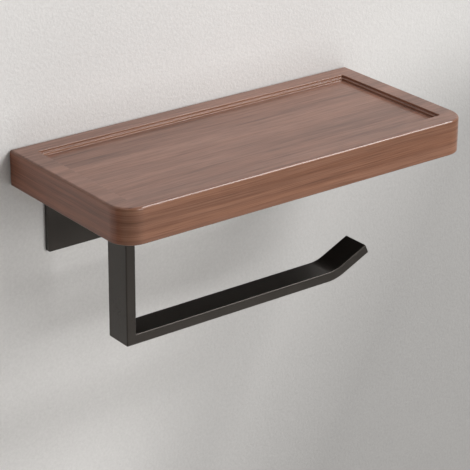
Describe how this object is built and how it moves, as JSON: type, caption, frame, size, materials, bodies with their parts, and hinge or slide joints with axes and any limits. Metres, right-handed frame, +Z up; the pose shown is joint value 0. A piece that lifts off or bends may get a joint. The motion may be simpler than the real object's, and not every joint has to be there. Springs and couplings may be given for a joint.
{
  "type": "toilet paper holder",
  "caption": "Wall-hung toilet paper holder: a walnut shelf with a tray recess on a black steel bracket, above an open-ended flat-bar roll arm.",
  "frame": {"origin": "on the wall plane, midway between the two wall-screw holes", "axes": "+X along the wall to the right as the user faces it, +Y into the wall, +Z up"},
  "size_m": [0.25, 0.115, 0.099],
  "materials": {
    "walnut": "oiled walnut, satin",
    "black_coat": "matt black powder coat on steel",
    "black_screw": "black zinc plated steel"
  },
  "bodies": {
    "root": {"shelf_board": "walnut", "wall_bracket": "black_coat", "roll_arm": "black_coat", "arm_screw_1": "black_screw", "arm_screw_2": "black_screw", "board_screw_1": "black_screw", "board_screw_2": "black_screw", "board_screw_3": "black_screw", "board_screw_4": "black_screw"}
  },
  "joints": []
}
